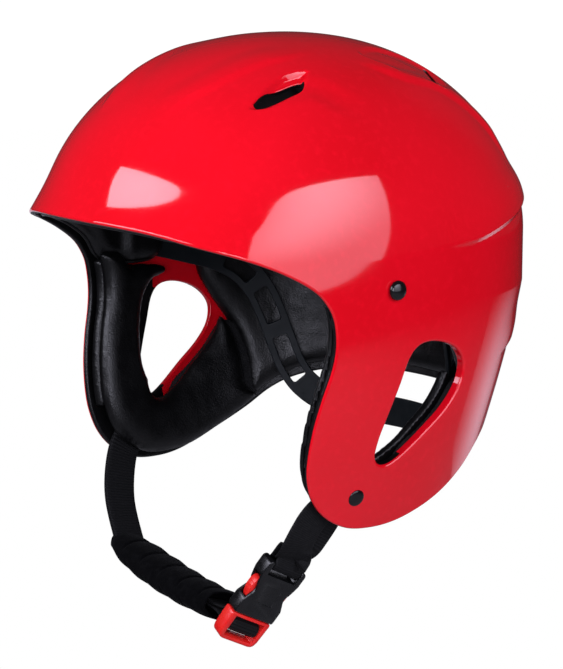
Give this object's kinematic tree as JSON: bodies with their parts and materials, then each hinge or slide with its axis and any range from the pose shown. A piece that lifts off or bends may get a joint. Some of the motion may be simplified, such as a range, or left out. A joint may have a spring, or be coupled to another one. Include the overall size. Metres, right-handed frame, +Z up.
{
  "type": "water helmet",
  "caption": "Hard-shell water sports helmet with ear flaps, ear openings, padded liner, nape band and side-release chin strap.",
  "frame": {"origin": "middle of the wearer's head at ear height, in the helmet's mid-plane, level with the tops of the ear openings", "axes": "+Z up towards the crown, -Y forward out of the face opening, +X towards the wearer's left"},
  "size_m": [0.2344, 0.2585, 0.3004],
  "materials": {
    "red_shell": "high gloss moulded ABS",
    "red_plastic": "semi-gloss moulded acetal",
    "black_cover": "soft satin skin over foam, fine wrinkles",
    "black_foam": "matte closed-cell EVA foam",
    "black_plastic": "satin moulded acetal",
    "black_webbing": "ribbed polypropylene webbing",
    "black_velour": "quilted velour",
    "slate_plastic": "satin moulded nylon"
  },
  "bodies": {
    "helmet": {"shell": "red_shell", "front_pad": "black_cover", "rear_pad": "black_cover", "crown_pad": "black_cover", "side_pad_left": "black_cover", "side_pad_right": "black_cover", "ear_pad_left": "black_cover", "ear_pad_right": "black_cover", "ear_liner_left": "black_foam", "ear_liner_right": "black_foam", "ear_foam_left": "black_foam", "ear_foam_right": "black_foam", "temple_pad_left": "black_cover", "temple_pad_right": "black_cover", "upper_rivet_left": "black_plastic", "upper_rivet_right": "black_plastic", "upper_washer_left": "black_plastic", "upper_washer_right": "black_plastic", "lower_rivet_left": "black_plastic", "lower_rivet_right": "black_plastic", "lower_washer_left": "black_plastic", "lower_washer_right": "black_plastic"},
    "nape_band": {"nape_band": "slate_plastic"},
    "strap_right": {"webbing_right": "black_webbing", "chin_pad": "black_velour", "webbing_end": "black_webbing"},
    "strap_left": {"webbing_left": "black_webbing", "buckle_female": "black_plastic"},
    "buckle_lock": {"buckle_male": "red_plastic"},
    "latch_left": {"latch_left": "red_plastic"},
    "latch_right": {"latch_right": "red_plastic"}
  },
  "joints": [
    {"name": "chin_strap_swing", "type": "hinge", "parent": "helmet", "child": "strap_right", "pos_m": [0, -0.0295, -0.0615], "axis": [1, 0, 0], "range_deg": [-15, 20]},
    {"name": "buckle_side_swing", "type": "hinge", "parent": "helmet", "child": "strap_left", "pos_m": [0, -0.0295, -0.0615], "axis": [1, 0, 0], "range_deg": [-15, 20]},
    {"name": "nape_band_tilt", "type": "hinge", "parent": "helmet", "child": "nape_band", "pos_m": [0, -0.0179, 0.0413], "axis": [1, 0, 0], "range_deg": [-12, 2]},
    {"name": "buckle_release", "type": "slide", "parent": "strap_right", "child": "buckle_lock", "axis": [-0.3841, -0.4181, -0.8232], "range_m": [0, 0.022], "deforming": ["webbing_end"]},
    {"name": "latch_squeeze_left", "type": "hinge", "parent": "buckle_lock", "child": "latch_left", "pos_m": [0.06454, -0.07571, -0.11772], "axis": [0.9233, -0.1817, -0.3385], "range_deg": [-7, 0], "stiffness_Nm_per_rad": 0.2},
    {"name": "latch_squeeze_right", "type": "hinge", "parent": "buckle_lock", "child": "latch_right", "pos_m": [0.06467, -0.06182, -0.12483], "axis": [0.9233, -0.1817, -0.3385], "range_deg": [0, 7], "stiffness_Nm_per_rad": 0.2}
  ],
  "couplings": [
    {"joint": "buckle_side_swing", "follows": "chin_strap_swing", "ratio": 1},
    {"joint": "latch_squeeze_right", "follows": "latch_squeeze_left", "ratio": -1}
  ]
}
